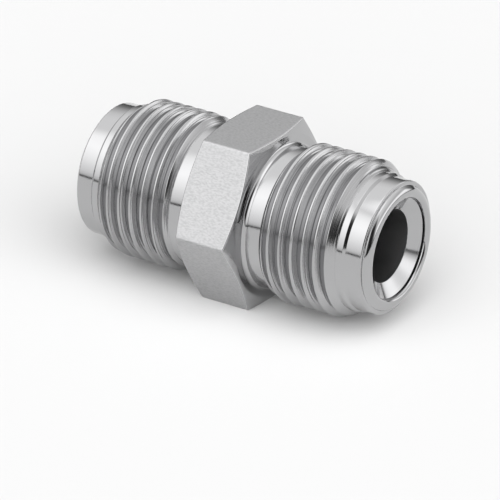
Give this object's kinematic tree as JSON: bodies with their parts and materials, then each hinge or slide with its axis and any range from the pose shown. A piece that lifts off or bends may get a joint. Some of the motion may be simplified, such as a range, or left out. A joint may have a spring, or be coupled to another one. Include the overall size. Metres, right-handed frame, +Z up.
{
  "type": "face seal union body",
  "caption": "Turned steel union body with a hexagon, male threads at both ends and a rounded sealing bead around a straight bore.",
  "frame": {"origin": "middle of the hexagon on the flow axis", "axes": "+X along the flow axis, +Z up through the upper hexagon flat"},
  "size_m": [0.0468, 0.0272, 0.0236],
  "materials": {
    "stainless": "fine turned, with drawn grain on the hexagon flats"
  },
  "bodies": {
    "root": {"union_body": "stainless"}
  },
  "joints": []
}
